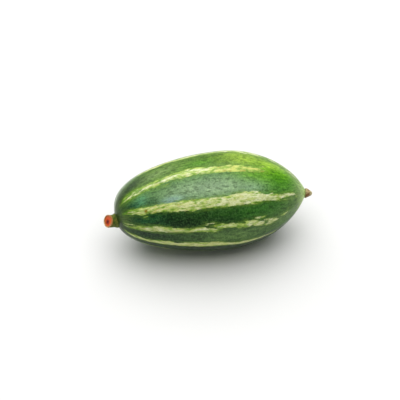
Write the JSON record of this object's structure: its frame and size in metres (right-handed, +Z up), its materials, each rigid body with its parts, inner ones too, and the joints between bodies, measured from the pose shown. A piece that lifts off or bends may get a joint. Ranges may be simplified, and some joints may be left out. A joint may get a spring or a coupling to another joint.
{
  "type": "pointed gourd",
  "caption": "Ripe-green pointed gourd lying on its side: a long egg-shaped fruit with soft ribs under pale stripes, a cut stem stub at one end and a dried blossom tip at the other.",
  "frame": {"origin": "the bottom centre of the whole object's box, on the surface that the fruit lies on", "axes": "+X along the fruit from the stem end to the blossom end, +Z up, the pictured side faces -Y"},
  "size_m": [0.0852, 0.0396, 0.0391],
  "materials": {
    "green_skin": "waxy green gourd skin, dark and mid green mottling with pale yellow-green feathered stripes, satin shine",
    "olive_stem": "olive-green fleshy stem, its cut face orange-red with a tan rim",
    "dried_blossom": "dry brown papery blossom remnant, matt"
  },
  "bodies": {
    "root": {"fruit": "green_skin", "stem_stub": "olive_stem", "blossom_tip": "dried_blossom"}
  },
  "joints": []
}
